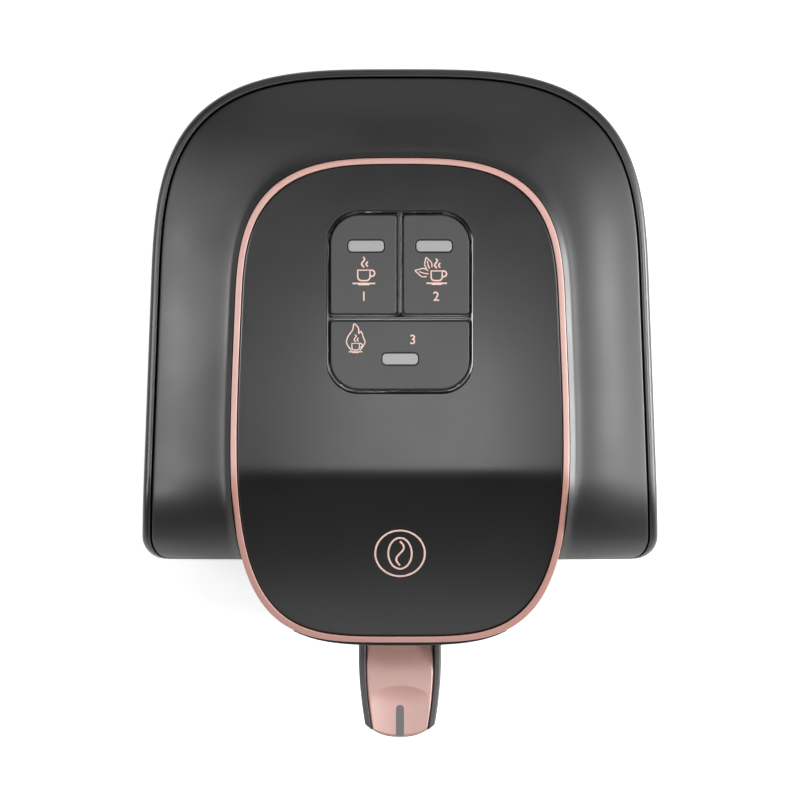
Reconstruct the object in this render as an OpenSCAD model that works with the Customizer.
/* [Body] */
// Width of the body where its sides and back meet
body_w = 195.6; // [188:0.2:204]
// How much each side widens per millimetre towards the front
side_taper = 0.0375; // [0.02:0.0025:0.045]
// Length of the rounded back, from the widest line to the back edge
back_round_len = 87.7; // [80:0.1:95]
// Roundness of the back corners, 2 for an ellipse and more for squarer
back_power = 3.4; // [2.6:0.1:4.5]
// Depth from the back edge to the front of the two pillars
pillar_depth = 192.6; // [184:0.2:198]
// Radius of the pillars' outer front corners
corner_r = 9; // [6:0.5:12]
// How much of the outer shell's wall is left at the very front of that corner
corner_thin = 0.2; // [0.15:0.05:1]
// Wall of the outer shell
shell_wall = 3.1; // [2.4:0.1:4]
// Wall of the other plastic mouldings
wall = 2.5; // [2:0.1:3]

/* [Head] */
// Height of the flat top of the head above the table
head_top_z = 204; // [196:1:215]
// Half width of the head at its widest line
head_half_w = 64.4; // [60:0.1:66]
// How much each side of the head widens per millimetre towards the front
head_taper = 0.0418; // [0.02:0.0001:0.05]
// Distance from the back of the body to the back of the head
head_setback = 35.4; // [30:0.2:45]
// Length of the rounded back of the head
head_back_len = 57.9; // [50:0.1:64]
// Length of the head forward of its widest line
head_front_len = 132.2; // [128:0.1:136]
// Roundness of the head's back corners
head_back_power = 3.1; // [2.6:0.1:4]
// Roundness of the head's front corners
head_front_power = 3.9; // [3:0.1:5]
// How far forward of its widest line the head's top starts to bend down
bend_start = 58; // [50:1:75]
// Radius of the bend
bend_r = 30; // [20:1:45]
// Slope of the front part of the head in degrees
front_slope = 24; // [15:1:28]
// Width of the copper trim
trim_w = 2.3; // [1.5:0.1:3.5]
// How far the trim stands above the panel
trim_proud = 0.6; // [0.2:0.1:1.2]
// Thickness of the control panel
panel_t = 3; // [2.5:0.1:4]

/* [Shoulders] */
// Thickness of the top shell
top_t = 2.5; // [2:0.1:3.5]
// Step from the panel's level down to the inner edge of the shoulders
shoulder_step = 1.5; // [0.5:0.1:3]
// Depth of the hollow that runs along the head
hollow_drop = 2.2; // [1:0.1:4]
// Width of that hollow as a part of the shoulder's width
hollow_run = 0.09; // [0.08:0.01:0.25]
// Further fall from there to the outer edge
crown_drop = 7; // [3:0.5:12]
// How far forward of the head's widest line the shoulders start to roll down
roll_start = 62; // [55:1:70]
// Radius of the roll at the shoulders' front
roll_r = 45; // [40:1:70]

/* [Base and bay] */
// Height of the rubber feet
foot_h = 5; // [3:0.5:8]
// Radius of the rubber feet
foot_r = 8; // [6:0.5:10]
// Depth that the feet sit in the bottom cover
foot_seat = 2; // [1:0.5:2.5]
// Height of the base's deck above the table
deck_z = 40; // [38:1:46]
// Radius of the bay behind the pot, and half its width
bay_r = 64; // [60:0.5:65]
// Height of the bay's ceiling above the table
bay_top_z = 150; // [146:1:155]
// Width of the ledge that closes the top of the bay
bay_ledge = 5; // [3:0.5:8]
// Distance from the back of the body to the pot's centre
pot_from_back = 137.3; // [130:0.1:140]

/* [Heating] */
// Radius of the heating plate
plate_r = 46; // [42:0.5:50]
// How far the plate stands above the deck
plate_proud = 2; // [1:0.5:4]
// Radius of the heating element's ring
element_r = 30; // [26:0.5:34]
// Radius of the heating element's tube
element_tube_r = 3.5; // [2.5:0.1:4]
// Radius of the hole for the sensor cap
sensor_bore_r = 7; // [5:0.5:9]
// Running clearance round the sensor cap
sensor_fit = 0.08; // [0.05:0.01:0.1]
// Travel of the sensor cap
sensor_travel = 1.5; // [0.5:0.1:2]

/* [Buttons] */
// Width of the frame round the buttons
frame_w = 57; // [52:0.5:60]
// Length of the frame round the buttons
frame_len = 71; // [66:0.5:75]
// Radius of the frame's corners
frame_r = 12.5; // [9:0.5:15]
// Distance from the back of the head to the frame's centre
frame_from_back = 56.2; // [52:0.2:60]
// Width of the frame's rim
rim_w = 0.9; // [0.6:0.1:1.5]
// Width of the ribs between the buttons
rib_w = 1.5; // [1:0.1:2]
// Gap round each button
button_gap = 0.45; // [0.3:0.05:0.6]
// Length of the two cup buttons
cup_button_len = 39; // [34:0.5:42]
// Thickness of the button caps
cap_t = 3.1; // [2.5:0.1:3.5]
// How far the caps stand above the panel
cap_proud = 0.4; // [0:0.1:0.8]
// Travel of the buttons
button_travel = 0.6; // [0.3:0.1:0.6]
// Length of the light windows
window_w = 14; // [10:0.5:18]
// Width of the light windows
window_h = 4.5; // [3:0.1:6]
// Distance of the cup buttons' windows behind the buttons' middle
window_back = 7.2; // [5:0.1:11]
// How much nearer to the middle of the panel those windows lie than the buttons
window_in = 0.9; // [0:0.1:2]
// Distance of the lower button's window in front of the button's middle
window_front = 1.5; // [0:0.1:4]

/* [Pot] */
// Radius of the pot's belly
pot_r = 46.5; // [42:0.5:47]
// Height of the pot
pot_h = 86; // [76:1:95]
// Wall of the pot
pot_wall = 1.2; // [0.8:0.1:2]
// How much narrower the neck is than the belly
neck_in = 5; // [2:0.5:9]
// How far the rim flares out from the neck
rim_out = 3.5; // [1:0.5:5]
// Reach of the handle's tip from the pot's centre
handle_reach = 128.5; // [120:0.5:134]
// Width of the handle
handle_w = 33.2; // [28:0.1:36]
// Width of the copper cover on the handle
cover_w = 27.3; // [22:0.1:28]
// Thickness of the copper cover
cover_t = 4; // [3.5:0.1:5]
// Distance of the handle's top below the pot's rim
handle_below_rim = 4; // [2:1:12]
// Depth of the thumb hollow
thumb_depth = 2.5; // [1:0.1:3]
// Width of the thumb hollow
thumb_w = 23; // [18:0.5:25]
// Distance from the handle's tip to the start of the thumb hollow's rounded end
thumb_run = 15.7; // [10:0.1:20]
// Length of that rounded end as a part of half the hollow's width
thumb_end = 0.45; // [0.3:0.05:1]

/* [Hidden] */
$fn = 64;

// clearances
fit = 0.05;
part_gap = 0.35;
seat_gap = 0.15;

// places along Y: the origin is midway between the back edge and the handle's tip
back_y = (pot_from_back + handle_reach) / 2;
body_mid_y = back_y - back_round_len;
pillar_front_y = back_y - pillar_depth;
head_back_y = back_y - head_setback;
head_mid_y = head_back_y - head_back_len;
head_front_y = head_mid_y - head_front_len;
pot_y = back_y - pot_from_back;
tip_y = pot_y - handle_reach;
frame_y = head_back_y - frame_from_back;
bend_y = head_mid_y - bend_start;
roll_y = head_mid_y - roll_start;

// the corner of each pillar
corner_y = pillar_front_y + corner_r;
corner_x = body_w / 2 + side_taper * (body_mid_y - corner_y) - corner_r;

// heights
cover_z = foot_h - foot_seat;
cover_t_bottom = 3;
base_z = cover_z + cover_t_bottom;
deck_t = 3;
plate_z = deck_z + plate_proud;
outline_steps = 24;

// ---- outlines seen from above ----

// a squared circle of radius 1: the point in the direction angle
function unit_curve(angle, power) =
    let (r = pow(pow(abs(cos(angle)), power) + pow(abs(sin(angle)), power), -1 / power))
    [r * cos(angle), r * sin(angle)];

function body_side_x(y, inset) = body_w / 2 - inset + side_taper * (body_mid_y - y);

function body_back_point(angle, inset) =
    let (u = unit_curve(angle, back_power), y = (back_round_len - inset) * u[1])
    [u[0] * (body_w / 2 - inset - side_taper * y), body_mid_y + y];

// the body's outline, moved inwards by inset, open to no side
function body_outline(inset) =
    let (rx = corner_r - inset, ry = corner_r - corner_thin * inset)
    concat(
        [for (a = [-90:15:0]) [corner_x + rx * cos(a), corner_y + ry * sin(a)]],
        [for (i = [0:2 * outline_steps]) body_back_point(90 * i / outline_steps, inset)],
        [for (a = [180:15:270]) [-corner_x + rx * cos(a), corner_y + ry * sin(a)]]
    );

function head_power(y) = y >= 0 ? head_back_power : head_front_power;

function head_len(y, inset) = (y >= 0 ? head_back_len : head_front_len) - inset;

function head_point(angle, inset) =
    let (side = sin(angle), u = unit_curve(angle, head_power(side)), y = head_len(side, inset) * u[1])
    [u[0] * (head_half_w - inset - head_taper * y), head_mid_y + y];

function head_outline(inset) =
    [for (i = [0:4 * outline_steps - 1]) head_point(90 * i / outline_steps, inset)];

// half the head's width at a given Y
function head_half_width(y, inset) =
    let (d = y - head_mid_y, n = head_power(d), share = min(1, abs(d) / head_len(d, inset)))
    (head_half_w - inset - head_taper * d) * pow(1 - pow(share, n), 1 / n);

// the angle at which the head's outline passes a given Y
function head_angle(y, inset) =
    let (d = y - head_mid_y, n = head_power(d), v = d / head_len(d, inset))
    atan2(v, pow(1 - pow(abs(v), n), 1 / n));

// ---- side profiles ----

// how far a surface has fallen at y when it bends down from start with radius r
function fall(y, start, r, slope) =
    let (d = start - y, run = r * sin(slope))
    d <= 0 ? 0 : d < run ? r - sqrt(r * r - d * d) : r * (1 - cos(slope)) + (d - run) * tan(slope);

function head_z(y) = head_top_z - fall(y, bend_y, bend_r, front_slope);

roll_slope = 55;
function shoulder_z(y) = head_top_z - shoulder_step - fall(y, roll_y, roll_r, roll_slope);

// the shoulder's fall from its inner edge, v = 0, to its outer edge, v = 1
function shoulder_drop(v) = hollow_drop * (1 - exp(-v / hollow_run)) + crown_drop * v * v;

function edge_z(y) = shoulder_z(y) - shoulder_drop(1);

function profile_ys(low, high, start, r, slope) =
    concat([high], [for (i = [0:6]) start - r * sin(slope) * i / 6], [low]);

// a sheet across the whole width that follows the head's top between two offsets
module head_band(above, below) {
    ys = profile_ys(head_front_y - 6, head_back_y + 6, bend_y, bend_r, front_slope);
    n = len(ys);
    rotate([90, 0, 90])
        linear_extrude(height = body_w, center = true)
            polygon(concat(
                [for (y = ys) [y, head_z(y) + above]],
                [for (i = [n - 1:-1:0]) [ys[i], head_z(ys[i]) + below]]
            ));
}

// a slice of the head's outline between two insets that follows its top
module head_slice(outer, inner, above, below) {
    intersection() {
        head_band(above, below);
        linear_extrude(height = head_top_z + 10)
            difference() {
                polygon(head_outline(outer));
                if (inner > outer) polygon(head_outline(inner));
            }
    }
}

// ---- the shoulders' surface ----

seam_inset = shell_wall + part_gap;
seam_rx = corner_r - seam_inset;
seam_ry = corner_r - corner_thin * seam_inset;
side_steps = 13;
back_steps = 14;
rim_turn_y = head_mid_y - 15;
shoulder_vs = [0, 0.04, 0.09, 0.16, 0.27, 0.45, 0.65, 0.83, 0.94, 1];

// the outer edge of the right shoulder, from its front to the middle of the back
seam_half = concat(
    [[corner_x - part_gap, pillar_front_y], [corner_x - part_gap, corner_y - seam_ry]],
    [for (a = [-80, -50, -25, 0]) [corner_x + seam_rx * cos(a), corner_y + seam_ry * sin(a)]],
    [for (i = [1:side_steps])
        let (y = corner_y + (body_mid_y - corner_y) * i / side_steps)
        [body_side_x(y, seam_inset), y]],
    [for (i = [1:back_steps]) body_back_point(90 * i / back_steps, seam_inset)]
);
front_rows = len(seam_half) - back_steps;

// the inner edge, with as many points as the outer one
rim_half = [for (i = [0:len(seam_half) - 1])
    i < front_rows
        ? let (share = (seam_half[i][1] - pillar_front_y) / (body_mid_y - pillar_front_y),
               y = pillar_front_y + (rim_turn_y - pillar_front_y) * share)
          [head_half_width(y, -part_gap), y]
        : let (start = head_angle(rim_turn_y, -part_gap),
               share = (i - front_rows + 1) / back_steps)
          head_point(start + (90 - start) * share, -part_gap)];

function shoulder_point(i, v) =
    let (a = rim_half[i], b = seam_half[i], x = a[0] + (b[0] - a[0]) * v, y = a[1] + (b[1] - a[1]) * v)
    [x, y, shoulder_z(y) - shoulder_drop(v)];

right_rows = [for (i = [0:len(seam_half) - 1]) [for (v = shoulder_vs) shoulder_point(i, v)]];
shoulder_rows = concat(
    right_rows,
    [for (i = [len(right_rows) - 2:-1:0]) [for (p = right_rows[i]) [-p[0], p[1], p[2]]]]
);

// two triangles for each quad
function split(quads) = [for (q = quads) each [[q[0], q[1], q[2]], [q[0], q[2], q[3]]]];

// a closed sheet below a grid of points, of even thickness measured upright
module grid_sheet(rows, t) {
    n = len(rows);
    m = len(rows[0]);
    top = [for (row = rows) each row];
    under = [for (p = top) [p[0], p[1], p[2] - t]];
    low = n * m;
    quads = concat(
        [for (i = [0:n - 2]) for (j = [0:m - 2])
            [i * m + j, (i + 1) * m + j, (i + 1) * m + j + 1, i * m + j + 1]],
        [for (i = [0:n - 2]) for (j = [0:m - 2])
            [low + i * m + j, low + i * m + j + 1, low + (i + 1) * m + j + 1, low + (i + 1) * m + j]],
        [for (i = [0:n - 2]) [i * m, low + i * m, low + (i + 1) * m, (i + 1) * m]],
        [for (i = [1:n - 1])
            let (a = i * m - 1, b = (i + 1) * m - 1)
            [a, b, low + b, low + a]],
        [for (j = [0:m - 2]) [j, j + 1, low + j + 1, low + j]],
        [for (j = [0:m - 2])
            let (a = (n - 1) * m + j)
            [a + 1, a, low + a, low + a + 1]]
    );
    polyhedron(points = concat(top, under), faces = split(quads));
}

// ---- base ----

base_gap = 0.2;
base_setback = 1.5;

// the base seen from above, moved inwards by inset
module base_plan(inset) {
    half = corner_x - base_gap - inset;
    union() {
        polygon(body_outline(shell_wall + base_gap + inset));
        translate([-half, pillar_front_y + inset])
            square([2 * half, corner_r]);
        polygon(head_outline(base_setback + inset));
    }
}

back_foot_y = back_y - 34.5;
front_foot_y = head_front_y + 21;
foot_places = [[62, back_foot_y], [-62, back_foot_y], [44, front_foot_y], [-44, front_foot_y]];
back_screw_y = body_mid_y - 15;
front_screw_y = pot_y - 34;
screw_places = [[78, back_screw_y], [-78, back_screw_y], [52, front_screw_y], [-52, front_screw_y]];
screw_r = 1.3;
screw_hole_r = 1.35;
screw_head_r = 3.2;
screw_len = 16;
screw_head_t = 1.5;
boss_r = 4;

module at_each(places) {
    for (p = places) translate([p[0], p[1], 0]) children();
}

module bottom_cover() {
    vent_rows = 5;
    vent_pitch = 6;
    vent_len = 40;
    vent_w = 2.4;
    color("#202020") difference() {
        union() {
            translate([0, 0, cover_z])
                linear_extrude(height = cover_t_bottom) base_plan(0.3);
            at_each(board_posts)
                translate([0, 0, base_z - 1]) cylinder(r = post_r, h = board_z - base_z + 1);
        }
        at_each(foot_places)
            translate([0, 0, cover_z - 1]) cylinder(r = foot_r + seat_gap, h = foot_seat + 1);
        at_each(screw_places) {
            translate([0, 0, cover_z - 1]) cylinder(r = screw_head_r + seat_gap, h = screw_head_t + 1.1);
            translate([0, 0, cover_z]) cylinder(r = screw_hole_r + 0.2, h = cover_t_bottom + 1);
        }
        for (i = [0:vent_rows - 1])
            translate([-vent_len / 2, pot_y + (i - (vent_rows - 1) / 2) * vent_pitch, cover_z - 1])
                cube([vent_len, vent_w, cover_t_bottom + 2]);
    }
}

module rubber_feet() {
    color("#151515") at_each(foot_places) cylinder(r = foot_r, h = foot_h);
}

module bottom_screws() {
    color("silver") at_each(screw_places) {
        translate([0, 0, cover_z + 0.1]) cylinder(r = screw_head_r, h = screw_head_t);
        translate([0, 0, cover_z + 0.1 + screw_head_t / 2]) cylinder(r = screw_r, h = screw_len);
    }
}

inlet_z = 20;
inlet_r = 6;
inlet_bore_r = 3.6;
board_front_y = back_y - 58.5;
riser_x = -30;
riser_y = board_front_y + 4;
riser_r = 2.5;
riser_hole_r = 4;

module base_housing() {
    color("#262626") difference() {
        union() {
            difference() {
                translate([0, 0, base_z])
                    linear_extrude(height = deck_z - base_z) base_plan(0);
                translate([0, 0, base_z - 1])
                    linear_extrude(height = deck_z - deck_t - base_z + 1) base_plan(wall);
            }
            at_each(screw_places)
                translate([0, 0, base_z]) cylinder(r = boss_r, h = deck_z - base_z - 1);
        }
        at_each(screw_places)
            translate([0, 0, base_z - 1]) cylinder(r = screw_hole_r, h = screw_len);
        translate([0, pot_y, 0]) {
            cylinder(r = plate_r - 2, h = deck_z + 1);
            translate([0, 0, deck_z - 1]) cylinder(r = plate_r + seat_gap, h = 2);
        }
        translate([riser_x, riser_y, 0]) cylinder(r = riser_hole_r, h = deck_z + 1);
        translate([0, back_y + 5, inlet_z])
            rotate([90, 0, 0]) cylinder(r = inlet_r + fit, h = 20);
    }
}

// a block that lies above the body's outer edge, for cutting a wall to it
module above_edge(lift) {
    ys = profile_ys(pillar_front_y - 3, back_y + 3, roll_y, roll_r, roll_slope);
    rotate([90, 0, 90])
        linear_extrude(height = 2 * body_w, center = true)
            polygon(concat(
                [for (y = ys) [y, edge_z(y) + lift]],
                [[pillar_front_y - 3, head_top_z + 20], [back_y + 3, head_top_z + 20]]
            ));
}

shell_foot = 1;

module outer_shell() {
    color("#3b3a3c") difference() {
        translate([0, 0, cover_z + shell_foot])
            linear_extrude(height = head_top_z)
                difference() {
                    polygon(body_outline(0));
                    polygon(body_outline(shell_wall));
                    translate([-corner_x, pillar_front_y - 1])
                        square([2 * corner_x, corner_r]);
                }
        above_edge(0);
        translate([0, back_y + 5, inlet_z])
            rotate([90, 0, 0]) cylinder(r = inlet_r + fit, h = 20);
    }
}

module cord_inlet() {
    flange = 2;
    flange_t = 2.4;
    inner_y = back_y - shell_wall - base_gap - wall;
    color("#111111") translate([0, back_y - 0.3, inlet_z]) rotate([90, 0, 0]) difference() {
        union() {
            cylinder(r = inlet_r, h = back_y - 0.3 - inner_y + flange_t);
            translate([0, 0, back_y - 0.3 - inner_y + fit])
                cylinder(r = inlet_r + flange, h = flange_t - fit);
        }
        translate([0, 0, -1]) cylinder(r = inlet_bore_r, h = 20);
    }
}

// the bay seen from above, moved outwards by grow
module bay_plan(grow, front) {
    side = bay_r + grow;
    union() {
        intersection() {
            translate([0, pot_y]) circle(r = side, $fn = 128);
            translate([-side, pot_y]) square([2 * side, side + 1]);
        }
        translate([-side, front]) square([2 * side, pot_y - front]);
    }
}

// the pillar's front plate on the right, from the deck to the underside of the shoulder
module pillar_plate() {
    gap_under = 0.1;
    row = shoulder_rows[0];
    n = len(row);
    head_side = head_half_width(pillar_front_y + wall, tray_inset) + 0.3;
    low_z = min([for (p = row) p[2]]) - top_t - gap_under;
    translate([0, pillar_front_y + wall, 0]) rotate([90, 0, 0]) linear_extrude(height = wall)
        polygon(concat(
            [[bay_r, bay_top_z], [bay_r, deck_z]],
            [[corner_x - part_gap, deck_z], [corner_x - part_gap, low_z]],
            [for (j = [n - 2:-1:0]) [row[j][0], row[j][2] - top_t - gap_under]],
            [[head_side, row[0][2] - top_t - gap_under], [head_side, bay_top_z]]
        ));
}

module bay_liner() {
    color("#1d1d1d") union() {
        difference() {
            translate([0, 0, deck_z]) linear_extrude(height = bay_top_z - deck_z)
                bay_plan(wall, pillar_front_y);
            translate([0, 0, deck_z - 1]) linear_extrude(height = bay_top_z - wall - deck_z + 1)
                bay_plan(0, pillar_front_y - 1);
            translate([0, 0, deck_z - 1]) linear_extrude(height = bay_top_z)
                bay_plan(-bay_ledge, pillar_front_y - 1);
        }
        pillar_plate();
        mirror([1, 0, 0]) pillar_plate();
    }
}

// ---- head ----

tray_inset = 1;
tray_wall = 3;
panel_inset = trim_w + 0.3;

module top_shell() {
    color("#2b2a2b") grid_sheet(shoulder_rows, top_t);
}

lip_half_w = 42;
lip_h = 3;
lip_proud = 1.2;
foam_y = pot_y + 18;
foam_window_r = 5;

module head_tray() {
    rest = -panel_t - fit;
    color("#222222") difference() {
        union() {
            head_slice(tray_inset, tray_inset + tray_wall, rest, -head_top_z);
            translate([0, 0, bay_top_z])
                linear_extrude(height = wall) polygon(head_outline(tray_inset));
            intersection() {
                head_slice(-lip_proud, tray_inset + tray_wall, rest, rest - lip_h);
                translate([-lip_half_w, head_front_y - 5, bay_top_z]) cube([2 * lip_half_w, 40, 60]);
            }
        }
        translate([-body_w, -2 * back_y, -head_top_z]) cube([2 * body_w, 4 * back_y, head_top_z + bay_top_z]);
        translate([0, foam_y, bay_top_z - 1]) cylinder(r = foam_window_r + fit, h = wall + 2);
        translate([riser_x, riser_y, bay_top_z - 1]) cylinder(r = riser_hole_r, h = wall + 2);
    }
}

module trim_ring() {
    color("#d9a08c") head_slice(0, trim_w, trim_proud, -panel_t);
}

frame_fit = 0.1;
guide_x = frame_w / 2 - 6.5;
guide_away_y = frame_len / 2 - 4;
guide_places = [for (side_y = [-1, 1]) for (side_x = [-1, 1])
    [side_x * guide_x, frame_y + side_y * guide_away_y]];
guide_boss_r = 3.2;
guide_post_r = 3;
frame_z = head_top_z - panel_t - 0.5;
guide_t = 1.5;
board_depth = 14.4;
board_top_z = head_top_z - board_depth;

module rounded_plan(w, len, r) {
    union() {
        square([w - 2 * r, len], center = true);
        square([w, len - 2 * r], center = true);
        for (x = [-1, 1]) for (y = [-1, 1])
            translate([x * (w / 2 - r), y * (len / 2 - r)]) circle(r = r);
    }
}

emblem_y = head_front_y + 35.7;
emblem_w = 20.2;
emblem_len = 20.2;
emblem_t = 0.8;
emblem_sink = 0.7;

// a round plate with a wavy line down its middle, laid on the sloping front of the head
module emblem_solid(grow, deep) {
    z = head_z(emblem_y);
    translate([0, emblem_y, z - emblem_sink])
        rotate([front_slope, 0, 0])
            linear_extrude(height = deep)
                polygon([for (a = [0:10:350])
                    [(emblem_w / 2 + grow) * cos(a), (emblem_len / 2 + grow) * sin(a)]]);
}

module control_panel() {
    clip_len = 0.5;
    color("#2a2a2a") difference() {
        union() {
            head_slice(panel_inset, 0, 0, -panel_t);
            at_each(guide_places)
                translate([0, 0, frame_z]) cylinder(r = guide_boss_r, h = clip_len + 1);
        }
        translate([0, frame_y, frame_z - 1]) linear_extrude(height = 10)
            rounded_plan(frame_w + 2 * frame_fit, frame_len + 2 * frame_fit, frame_r + frame_fit);
        emblem_solid(0.1, 5);
    }
}

module front_emblem() {
    groove = 0.5;
    color("#caa093") difference() {
        emblem_solid(0, emblem_t);
        translate([0, emblem_y, head_z(emblem_y) - emblem_sink])
            rotate([front_slope, 0, 0])
                translate([0, 0, emblem_t - 0.3]) linear_extrude(height = 2)
                    polygon(concat(
                        [for (i = [-8:8]) [1.6 * sin(i * 22.5) - groove / 2, i]],
                        [for (i = [8:-1:-8]) [1.6 * sin(i * 22.5) + groove / 2, i]]
                    ));
    }
}

// ---- buttons ----

inner_w = frame_w - 2 * rim_w;
inner_len = frame_len - 2 * rim_w;
inner_r = frame_r - rim_w;
cup_w = (inner_w - rib_w) / 2 - 2 * button_gap;
cup_x = (rib_w + cup_w) / 2 + button_gap;
cup_y = frame_y + inner_len / 2 - button_gap - cup_button_len / 2;
rib_y = cup_y - cup_button_len / 2 - button_gap - rib_w / 2;
brew_len = inner_len - cup_button_len - rib_w - 4 * button_gap;
brew_y = rib_y - rib_w / 2 - button_gap - brew_len / 2;
cap_top_z = head_top_z + cap_proud;
cap_z = cap_top_z - cap_t;
guide_z = frame_z - guide_t;

module frame_opening(x, y, w, len) {
    translate([x, y]) square([w + 2 * button_gap, len + 2 * button_gap], center = true);
}

module button_frame() {
    color("#141414") translate([0, 0, frame_z])
        linear_extrude(height = head_top_z + 0.3 - frame_z)
            difference() {
                translate([0, frame_y]) rounded_plan(frame_w, frame_len, frame_r);
                intersection() {
                    translate([0, frame_y]) rounded_plan(inner_w, inner_len, inner_r);
                    union() {
                        frame_opening(cup_x, cup_y, cup_w, cup_button_len);
                        frame_opening(-cup_x, cup_y, cup_w, cup_button_len);
                        frame_opening(0, brew_y, inner_w - 2 * button_gap, brew_len);
                    }
                }
            }
}

// the outline of a cap: its own rectangle, cut to the rounded inside of the frame
module cap_plan(x, y, w, len) {
    intersection() {
        translate([0, frame_y])
            rounded_plan(inner_w - 2 * button_gap, inner_len - 2 * button_gap, inner_r - button_gap);
        translate([x, y]) rounded_plan(w, len, 1.2);
    }
}

stem_r = 2;
stem_fit = 0.08;
plunger_r = 1.7;
plunger_h = 3.2;
plunger_top_z = board_top_z + 4.7;
window_t = 1.2;
window_corner = 1.4;

module window_plan(grow) {
    rounded_plan(window_w + 2 * grow, window_h + 2 * grow, window_corner + grow);
}

module button_cap(x, y, w, len, window_x, window_y) {
    difference() {
        union() {
            translate([0, 0, cap_z]) linear_extrude(height = cap_t) cap_plan(x, y, w, len);
            translate([x, y, plunger_top_z + fit])
                cylinder(r = stem_r, h = cap_z - plunger_top_z + 1);
        }
        translate([window_x, window_y, cap_top_z - window_t])
            linear_extrude(height = window_t + 1) window_plan(fit);
    }
}

module light_window(x, window_y) {
    color("#d0d0d0") translate([x, window_y, cap_top_z - window_t])
        linear_extrude(height = window_t) window_plan(0);
}

cup_window_x = cup_x - window_in;
cup_window_y = cup_y + window_back;
brew_window_y = brew_y - window_front;

module left_button() {
    color("#2f2f2f") button_cap(-cup_x, cup_y, cup_w, cup_button_len, -cup_window_x, cup_window_y);
}

module right_button() {
    color("#2f2f2f") button_cap(cup_x, cup_y, cup_w, cup_button_len, cup_window_x, cup_window_y);
}

module brew_button() {
    color("#2f2f2f") button_cap(0, brew_y, inner_w - 2 * button_gap, brew_len, 0, brew_window_y);
}

module left_window() {
    light_window(-cup_window_x, cup_window_y);
}

module right_window() {
    light_window(cup_window_x, cup_window_y);
}

module brew_window() {
    light_window(0, brew_window_y);
}

module plunger(x, y) {
    color("#8b4a2b") translate([x, y, plunger_top_z - plunger_h]) cylinder(r = plunger_r, h = plunger_h);
}

module left_plunger() {
    plunger(-cup_x, cup_y);
}

module right_plunger() {
    plunger(cup_x, cup_y);
}

module brew_plunger() {
    plunger(0, brew_y);
}

stem_places = [[-cup_x, cup_y], [cup_x, cup_y], [0, brew_y]];
board_t = 1.6;
board_screw_r = 1.25;

guide_corner = 4;
board_corner = 3;
plate_inset = 1;

module guide_plan() {
    rounded_plan(frame_w - 2 * plate_inset, frame_len - 2 * plate_inset, guide_corner);
}

module button_guide() {
    light_slot = 3;
    slot_w = 3;
    color("#e8e8e0") difference() {
        union() {
            translate([0, frame_y, guide_z]) linear_extrude(height = guide_t) guide_plan();
            at_each(guide_places)
                translate([0, 0, board_top_z]) cylinder(r = guide_post_r, h = guide_z - board_top_z + 0.5);
        }
        at_each(stem_places)
            translate([0, 0, guide_z - 1]) cylinder(r = stem_r + stem_fit, h = guide_t + 2);
        at_each(led_places)
            translate([-light_slot, -slot_w / 2, guide_z - 1]) cube([2 * light_slot, slot_w, guide_t + 2]);
        at_each(guide_places)
            translate([0, 0, board_top_z - 1]) cylinder(r = board_screw_r + fit, h = 20);
    }
}

brew_led_front = 6;
led_places = [[-cup_window_x, cup_window_y], [cup_window_x, cup_window_y],
              [0, brew_window_y - brew_led_front]];
led_w = 3;
led_len = 2;
led_h = 1.2;

module control_board() {
    color("#1f5c33") difference() {
        translate([0, frame_y, board_top_z - board_t])
            linear_extrude(height = board_t)
                rounded_plan(frame_w - 5 * plate_inset, frame_len - 2 * plate_inset, board_corner);
        at_each(guide_places)
            translate([0, 0, board_top_z - board_t - 1]) cylinder(r = board_screw_r + fit, h = board_t + 2);
    }
}

module board_screws() {
    head_r = 2.4;
    head_t = 1.4;
    color("silver") at_each(guide_places)
        translate([0, 0, board_top_z - board_t - head_t]) {
            cylinder(r = head_r, h = head_t);
            cylinder(r = board_screw_r, h = frame_z - board_top_z + board_t + head_t - 0.3);
        }
}

module button_switches() {
    side = 6;
    body_h = 3.2;
    color("#222222") at_each(stem_places)
        translate([0, 0, board_top_z]) difference() {
            translate([-side / 2, -side / 2, 0]) cube([side, side, body_h]);
            translate([0, 0, 0.6]) cylinder(r = plunger_r + stem_fit, h = body_h);
        }
}

module indicator_leds() {
    color("white") at_each(led_places)
        translate([-led_w / 2, -led_len / 2, board_top_z]) cube([led_w, led_len, led_h]);
}

module buzzer() {
    r = 6;
    h = 7;
    color("black") translate([frame_w / 4, frame_y + frame_len / 4, board_top_z - board_t - h])
        cylinder(r = r, h = h);
}

foam_sensor_size = [14, 10, 8];

module foam_sensor() {
    color("#303030")
        translate([-foam_sensor_size[0] / 2, foam_y - foam_sensor_size[1] / 2, bay_top_z + wall])
            cube(foam_sensor_size);
}

module foam_sensor_window() {
    color("#400f14") translate([0, foam_y, bay_top_z]) cylinder(r = foam_window_r, h = wall);
}

// ---- heating ----

plate_t = 3;
plate_boss_h = 5;
plate_under_z = deck_z - 1 - plate_boss_h;

module heating_plate() {
    color("#4a4a4c") translate([0, pot_y, 0]) difference() {
        union() {
            translate([0, 0, deck_z - 1]) cylinder(r = plate_r, h = plate_z - deck_z + 1);
            translate([0, 0, plate_under_z]) cylinder(r = plate_r - 2.5, h = plate_boss_h + 1);
        }
        cylinder(r = sensor_bore_r, h = plate_z + 1);
    }
}

element_z = plate_under_z - element_tube_r - fit;
element_gap_angle = 20;
terminal_r = 1.5;
terminal_z = 17;
terminal_x = element_r * sin(element_gap_angle / 2);
terminal_y = pot_y + element_r * cos(element_gap_angle / 2);

module heater_element() {
    color("#9a8f86") {
        translate([0, pot_y, element_z])
            rotate([0, 0, 90 + element_gap_angle / 2])
                rotate_extrude(angle = 360 - element_gap_angle)
                    translate([element_r, 0]) circle(r = element_tube_r, $fn = 32);
        for (side = [-1, 1])
            translate([side * (terminal_x + terminal_r), terminal_y - 1, terminal_z])
                cylinder(r = terminal_r, h = element_z - terminal_z);
    }
}

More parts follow.
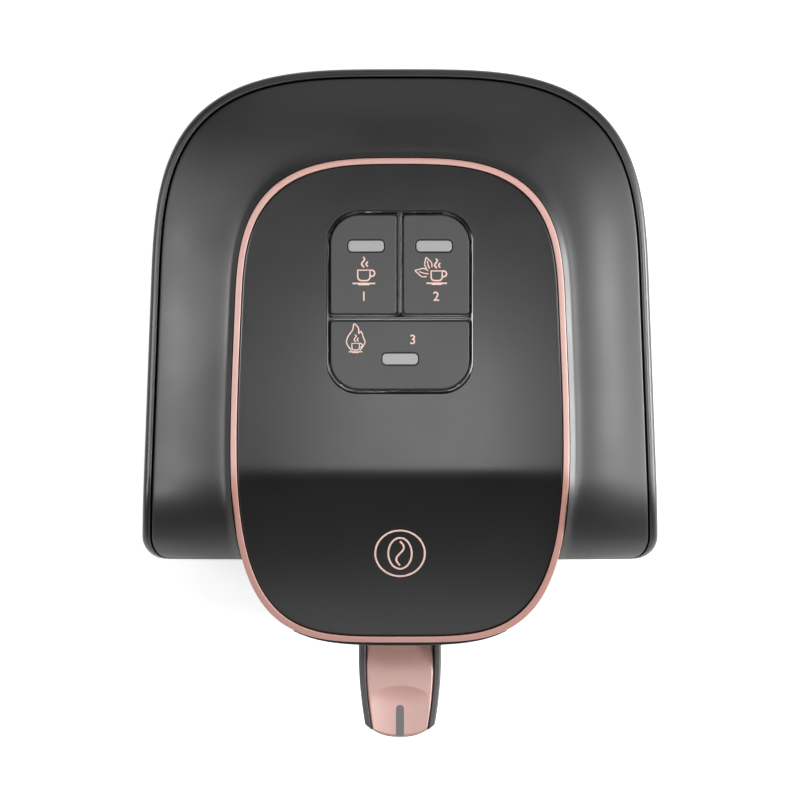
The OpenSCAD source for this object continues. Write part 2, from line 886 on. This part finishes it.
shield_r = 50;
shield_t = 1;
shield_z = plate_under_z - 12;
holder_r = 10;

module heat_shield() {
    flange = 5;
    color("#b8b8b8") translate([0, pot_y, 0]) difference() {
        union() {
            translate([0, 0, shield_z]) cylinder(r = shield_r, h = deck_z - deck_t - shield_z);
            translate([0, 0, deck_z - deck_t - shield_t]) cylinder(r = shield_r + flange, h = shield_t);
        }
        translate([0, 0, shield_z + shield_t]) cylinder(r = shield_r - shield_t, h = 40);
        for (side = [-1, 1])
            translate([side * (terminal_x + terminal_r), terminal_y - pot_y - 1, shield_z - 1])
                cylinder(r = terminal_r + 1.5, h = 4);
    }
}

module thermal_fuse() {
    fuse_r = 2.3;
    fuse_len = 12;
    place_y = pot_y + 17;
    color("#c9b27a") union() {
        translate([-fuse_len / 2, place_y, plate_under_z - fuse_r - 0.6])
            rotate([0, 90, 0]) cylinder(r = fuse_r, h = fuse_len);
        translate([-4, place_y - 3, plate_under_z - 1]) cube([8, 6, 1]);
    }
}

cap_h = 6;
holder_floor = 2;

module sensor_cap() {
    cap_r = sensor_bore_r - sensor_fit;
    color("#c8c8ca") translate([0, pot_y, 0]) union() {
        translate([0, 0, plate_z - cap_h]) cylinder(r = cap_r, h = cap_h);
        translate([0, 0, plate_z - cap_h - 6]) cylinder(r = 2.5, h = 6.5);
    }
}

module sensor_holder() {
    color("#d8d4c8") translate([0, pot_y, shield_z + shield_t]) difference() {
        cylinder(r = holder_r, h = plate_under_z - shield_z - shield_t);
        translate([0, 0, holder_floor]) cylinder(r = sensor_bore_r + 0.1, h = 20);
    }
}

spring_turns = 4;
spring_wire_r = 0.4;
spring_r = 4.6;
spring_low_z = shield_z + shield_t + holder_floor + spring_wire_r + fit;
spring_high_z = plate_z - cap_h - spring_wire_r - fit;

// a coil of wire, as a ring of points carried round a helix
module sensor_spring() {
    sides = 6;
    steps = spring_turns * 14;
    points = [for (i = [0:steps]) let (a = 360 * spring_turns * i / steps,
                                       z = spring_low_z + (spring_high_z - spring_low_z) * i / steps)
        for (k = [0:sides - 1]) let (b = 360 * k / sides, r = spring_r + spring_wire_r * cos(b))
            [r * cos(a), pot_y + r * sin(a), z + spring_wire_r * sin(b)]];
    quads = [for (i = [0:steps - 1]) for (k = [0:sides - 1])
        let (next = (k + 1) % sides)
        [i * sides + k, (i + 1) * sides + k, (i + 1) * sides + next, i * sides + next]];
    start_cap = [for (k = [0:sides - 1]) k];
    end_cap = [for (k = [sides - 1:-1:0]) steps * sides + k];
    color("silver") polyhedron(points = points, faces = concat(split(quads), [start_cap, end_cap]));
}

// ---- electronics in the base ----

board_w = 90;
board_len = 44;
board_z = 12;
post_r = 3;
post_in = 6;
post_x = board_w / 2 - post_in - 1;
board_posts = [for (y = [post_in, board_len - post_in]) for (side = [-1, 1])
    [side * post_x, board_front_y + y]];
power_top_z = board_z + board_t;

module power_board() {
    color("#2c6b3f") translate([-board_w / 2, board_front_y, board_z]) cube([board_w, board_len, board_t]);
}

relay_size = [19, 15.5, 15];
relay_place = [20, 22];
transformer_size = [30, 25, 20];
transformer_place = [-14, 16];
capacitor_r = 5;
capacitor_h = 14;
capacitor_place = [-34, 30];
terminal_size = [24, 8, 8];
terminal_front = 1;

// stands its children on the power board, at a place measured from the middle of its front edge
module on_power_board(place) {
    translate([place[0], board_front_y + place[1], power_top_z]) children();
}

module power_relay() {
    color("#1b4f9c") on_power_board(relay_place) cube(relay_size);
}

module transformer() {
    color("#caa94b") on_power_board(transformer_place) cube(transformer_size);
}

module filter_capacitor() {
    color("#1a1a3a") on_power_board(capacitor_place) cylinder(r = capacitor_r, h = capacitor_h);
}

module terminal_block() {
    color("#3a8f4a") on_power_board([-terminal_size[0] / 2, terminal_front]) cube(terminal_size);
}

module wiring_loom() {
    lead_r = 1.2;
    foam_lead_z = bay_top_z + wall + foam_sensor_size[2];
    lead_len = board_front_y + terminal_front - terminal_y - terminal_r + 1;
    color("#7a1f1f") {
        translate([riser_x, riser_y, power_top_z])
            cylinder(r = riser_r, h = board_top_z - board_t - power_top_z);
        for (side = [-1, 1])
            translate([side * (terminal_x + terminal_r), terminal_y + terminal_r - 1, terminal_z + 1.5])
                rotate([-90, 0, 0]) cylinder(r = lead_r, h = lead_len);
        translate([0, foam_y, foam_lead_z])
            cylinder(r = lead_r, h = board_top_z - board_t - foam_lead_z);
    }
}

// ---- pot ----

foot_round = 3;
belly_h = 28;
neck_below_rim = 20;
neck_h = pot_h - neck_below_rim;

lip_reach = 4.5;
lip_root_r = 12;
lip_tip_r = 3;
lip_drop = 22;

function smooth(t) = let (c = min(1, max(0, t))) c * c * (3 - 2 * c);

// the pot's outer radius at a height above its foot
function pot_radius(h) =
    let (foot = h < foot_round ? foot_round - sqrt(foot_round * foot_round - pow(foot_round - h, 2)) : 0,
         lip = h > neck_h ? rim_out * pow((h - neck_h) / (pot_h - neck_h), 2) : 0)
    pot_r - 1.5 * pow(1 - min(1, h / belly_h), 2)
        - neck_in * smooth((h - belly_h) / (neck_h - belly_h)) + lip - foot;

pot_heights = concat([0, 0.4, 1, 1.8, 3], [for (h = [8:6:pot_h - 1]) h], [pot_h]);

module pot_profile(inset, floor_h) {
    heights = [for (h = pot_heights) if (h >= floor_h) h];
    polygon(concat(
        [[0, floor_h]],
        [for (h = heights) [pot_radius(h) - inset, h]],
        inset > 0 ? [[pot_radius(pot_h) - inset, pot_h + 1], [0, pot_h + 1]] : [[0, pot_h]]
    ));
}

// the pouring lip on the left, as a solid that is pinched out from the rim
module lip_solid(inset) {
    rim_r = pot_radius(pot_h);
    root_h = pot_h - lip_drop;
    disc_t = 0.6;
    discs = [
        [lip_root_r, rim_r - lip_root_r, pot_h - disc_t],
        [lip_tip_r, rim_r + lip_reach - lip_tip_r, pot_h - disc_t],
        [lip_root_r / 2, pot_radius(root_h) - lip_root_r / 2, root_h]
    ];
    hull() for (d = discs)
        translate([-d[1], 0, d[2]]) cylinder(r = d[0] - inset, h = disc_t, $fn = 32);
}

module pot_body() {
    color("#c77f66") translate([0, pot_y, plate_z]) difference() {
        union() {
            rotate_extrude($fn = 96) pot_profile(0, 0);
            lip_solid(0);
        }
        rotate_extrude($fn = 96) pot_profile(pot_wall, 1.8);
        lip_solid(pot_wall);
        translate([0, 0, 0.5]) intersection() {
            lip_solid(pot_wall);
            translate([-2 * pot_r, -pot_r, pot_h - 1]) cube([2 * pot_r, 2 * pot_r, 2]);
        }
    }
}

handle_top = pot_h - handle_below_rim;
handle_z = plate_z + handle_top;
handle_root_r = pot_r - 0.5;
handle_depth = 23;
handle_tip_depth = 12;
handle_end_sag = 5.4;
handle_narrowing = 2.5;
handle_straight_y = tip_y + 30;
handle_curve_len = handle_straight_y - tip_y - handle_end_sag;
handle_tip_face = cover_t + 1.5;
bracket_w = 16;
bracket_t = 2;
bracket_drop = 13;
bracket_z = handle_z - bracket_drop;
bracket_end_y = pot_y - 76;
pad_h = 14;
pad_t = 1.5;
pad_mid_h = handle_top - bracket_drop + bracket_t / 2;
pad_gap = 0.3;
pad_r = max(pot_radius(pad_mid_h - pad_h / 2), pot_radius(pad_mid_h + pad_h / 2)) + pad_gap;

// half the handle's width at a given Y: it narrows towards its end
function handle_half_w(y, inset) =
    handle_w / 2 - inset - handle_narrowing * pow(max(0, handle_straight_y - y) / handle_curve_len, 2);

// the handle seen from above, moved inwards by inset, with its curved end moved by end_gap
module handle_plan(inset, root_y, end_gap) {
    steps = 6;
    corner_y = tip_y + handle_end_sag;
    end_x = handle_half_w(corner_y, inset);
    side = [for (i = [0:steps])
        let (y = handle_straight_y + (corner_y - handle_straight_y) * i / steps)
        [handle_half_w(y, inset), y]];
    end = [for (i = [-steps:steps])
        let (x = -end_x * i / (steps + 0.4))
        [x, tip_y + end_gap + handle_end_sag * pow(x / handle_half_w(corner_y, 0), 2)]];
    polygon(concat(
        [[handle_w / 2 - inset, root_y]],
        side,
        end,
        [for (i = [steps:-1:0]) [-side[i][0], side[i][1]]],
        [[inset - handle_w / 2, root_y]]
    ));
}

// the handle seen from the side
module handle_side() {
    rotate([90, 0, 90]) linear_extrude(height = handle_w + 2, center = true)
        polygon(concat(
            [[pot_y, handle_z], [tip_y - 1, handle_z], [tip_y - 1, handle_z - handle_tip_face]],
            [for (i = [0:6])
                let (a = 90 * i / 6)
                [tip_y + 10 - 9 * cos(a),
                 handle_z - handle_tip_face - (handle_tip_depth - handle_tip_face) * sin(a)]],
            [[pot_y - 46, handle_z - handle_depth], [pot_y, handle_z - handle_depth]]
        ));
}

module thumb_hollow() {
    r = (pow(thumb_w / 2, 2) + pow(thumb_depth, 2)) / (2 * thumb_depth);
    translate([0, tip_y + thumb_run, handle_z - thumb_depth + r]) {
        scale([1, thumb_end, 1]) sphere(r = r, $fn = 96);
        rotate([90, 0, 0]) cylinder(r = r, h = 2 * thumb_run, $fn = 96);
    }
}

cover_root_y = pot_y - 52;
cover_end_gap = 0.4;

module cover_solid(grow, end_gap) {
    translate([0, 0, handle_z - cover_t - grow])
        linear_extrude(height = cover_t + 10)
            handle_plan((handle_w - cover_w) / 2 - grow, cover_root_y + grow, end_gap);
}

strip_w = 3.2;
strip_start_y = tip_y + 13.1;
strip_end_y = tip_y + 0.6;
strip_t = 1.2;

module strip_plan(grow) {
    union() {
        translate([0, strip_start_y - strip_w / 2]) circle(r = strip_w / 2 + grow, $fn = 24);
        translate([-strip_w / 2 - grow, strip_end_y - 4 * grow])
            square([strip_w + 2 * grow, strip_start_y - strip_w / 2 - strip_end_y + 4 * grow]);
    }
}

handle_screw_y = pot_y - 66;

module handle_shell() {
    color("#55504f") difference() {
        intersection() {
            linear_extrude(height = handle_z) handle_plan(0, pot_y - 30, 0);
            handle_side();
        }
        translate([0, pot_y, 0]) cylinder(r = handle_root_r, h = handle_z + 1, $fn = 128);
        cover_solid(seat_gap, -2);
        thumb_hollow();
        translate([-bracket_w / 2 - 0.2, bracket_end_y - 0.3, bracket_z - 0.15])
            cube([bracket_w + 0.4, pot_y - bracket_end_y, bracket_t + 0.3]);
        translate([0, handle_screw_y, bracket_z - 20]) cylinder(r = 1.7, h = 20 + bracket_t);
        translate([0, handle_screw_y, bracket_z - 30]) cylinder(r = 3.4, h = 24);
    }
}

module handle_cover() {
    color("#d8a795") difference() {
        intersection() {
            cover_solid(0, cover_end_gap);
            translate([-handle_w, tip_y - 1, handle_z - cover_t]) cube([2 * handle_w, pot_y - tip_y, cover_t]);
        }
        thumb_hollow();
        translate([0, 0, handle_z - thumb_depth - strip_t]) linear_extrude(height = 10) strip_plan(fit);
    }
}

module handle_strip() {
    color("#8b8c89") translate([0, 0, handle_z - thumb_depth - strip_t + fit])
        linear_extrude(height = strip_t - fit) strip_plan(0);
}

module pot_bracket() {
    color("#bfbfbf") union() {
        translate([-bracket_w / 2, bracket_end_y, bracket_z])
            cube([bracket_w, pot_y - pad_r - pad_t / 2 - bracket_end_y, bracket_t]);
        translate([0, pot_y, bracket_z + bracket_t / 2 - pad_h / 2]) intersection() {
            difference() {
                cylinder(r = pad_r + pad_t, h = pad_h, $fn = 96);
                translate([0, 0, -1]) cylinder(r = pad_r, h = pad_h + 2, $fn = 96);
            }
            translate([-bracket_w / 2 - 3, -2 * pot_r, 0]) cube([bracket_w + 6, 2 * pot_r, pad_h]);
        }
    }
}

module handle_screw() {
    head_t = 2;
    color("silver") translate([0, handle_screw_y, 0]) {
        translate([0, 0, bracket_z - 6 - head_t]) cylinder(r = 3.2, h = head_t);
        translate([0, 0, bracket_z - 6.5]) cylinder(r = 1.6, h = 6.4);
    }
}

bottom_cover();
rubber_feet();
bottom_screws();
base_housing();
outer_shell();
bay_liner();
top_shell();
head_tray();
trim_ring();
control_panel();
front_emblem();
button_frame();
left_button();
right_button();
brew_button();
left_window();
right_window();
brew_window();
left_plunger();
right_plunger();
brew_plunger();
button_guide();
control_board();
board_screws();
button_switches();
indicator_leds();
buzzer();
foam_sensor();
foam_sensor_window();
heating_plate();
heater_element();
heat_shield();
thermal_fuse();
sensor_cap();
sensor_holder();
sensor_spring();
power_board();
power_relay();
transformer();
filter_capacitor();
terminal_block();
wiring_loom();
cord_inlet();
pot_body();
pot_bracket();
handle_shell();
handle_cover();
handle_strip();
handle_screw();
